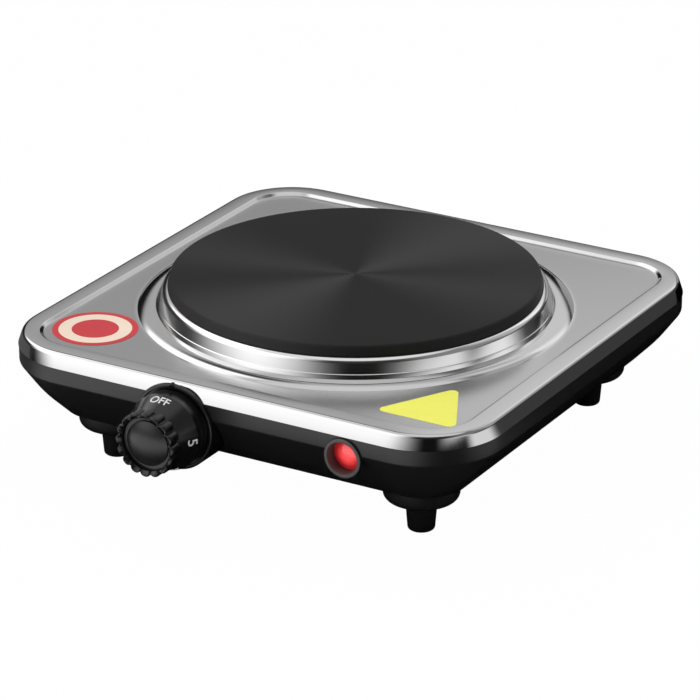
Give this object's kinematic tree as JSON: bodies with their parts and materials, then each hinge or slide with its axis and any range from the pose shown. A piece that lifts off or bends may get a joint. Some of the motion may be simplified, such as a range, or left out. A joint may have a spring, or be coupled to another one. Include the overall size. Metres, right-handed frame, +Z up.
{
  "type": "hot plate burner",
  "caption": "Square electric hot plate: round cast iron burner in a bright trim ring, polished cover, sloping base on feet, thermostat knob and pilot lamp at the front.",
  "frame": {"origin": "on the surface under the feet, below the middle of the whole outline with the knob", "axes": "+Z up, square to the burner; -Y towards the front with the knob and lamp; +X to the right seen from the front"},
  "size_m": [0.2608, 0.2884, 0.0824],
  "materials": {
    "cover_steel": "polished stainless sheet",
    "ring_bright": "polished",
    "plate_iron": "turned face with a matt black coating",
    "coil_wire": "dull",
    "insulator": "matt",
    "plain_steel": "zinc plated",
    "shield_sheet": "bright sheet",
    "base_black": "moulded, satin",
    "knob_black": "moulded, satin",
    "knob_cap_grey": "smooth satin",
    "brass_parts": "turned",
    "contact_silver": "plain",
    "bezel_black": "moulded, satin",
    "lens_red": "clear red, polished",
    "lamp_glass": "clear",
    "rubber_black": "matt",
    "wire_sleeve": "woven sleeve",
    "foot_black": "moulded, satin"
  },
  "bodies": {
    "housing": {"top_cover": "cover_steel", "trim_ring": "ring_bright", "heating_plate": "plate_iron", "heating_coil": "coil_wire", "ceramic_fill": "insulator", "element_cover": "plain_steel", "centre_stud": "plain_steel", "stud_nuts": "plain_steel", "stud_washer": "plain_steel", "plate_strap": "plain_steel", "heat_shield": "shield_sheet", "base_pan": "base_black", "foot_screws": "plain_steel", "cover_tabs": "plain_steel", "base_screws": "plain_steel", "knob_escutcheon": "base_black", "thermostat_bracket": "plain_steel", "bracket_screws": "plain_steel", "thermostat_bush": "brass_parts", "bush_nut": "brass_parts", "stack_insulators": "insulator", "stack_rivet": "plain_steel", "adjusting_blade": "brass_parts", "contact_blade": "brass_parts", "bimetal_blade": "plain_steel", "silver_contacts": "contact_silver", "lamp_bezel": "bezel_black", "lamp_lens": "lens_red", "lamp_holder": "base_black", "neon_lamp": "lamp_glass", "lamp_retainer": "plain_steel", "cord_gland": "rubber_black", "terminal_block": "insulator", "terminal_screws": "brass_parts", "wires": "wire_sleeve", "foot_front_left": "foot_black", "foot_front_right": "foot_black", "foot_rear_left": "foot_black", "foot_rear_right": "foot_black"},
    "knob": {"knob": "knob_black", "knob_cap": "knob_cap_grey", "knob_leaf": "plain_steel", "thermostat_spindle": "plain_steel"}
  },
  "joints": [
    {"name": "knob_turn", "type": "hinge", "parent": "housing", "child": "knob", "pos_m": [-0.0225, -0.11875, 0.046], "axis": [0, 1, 0], "range_deg": [0, 270]}
  ]
}
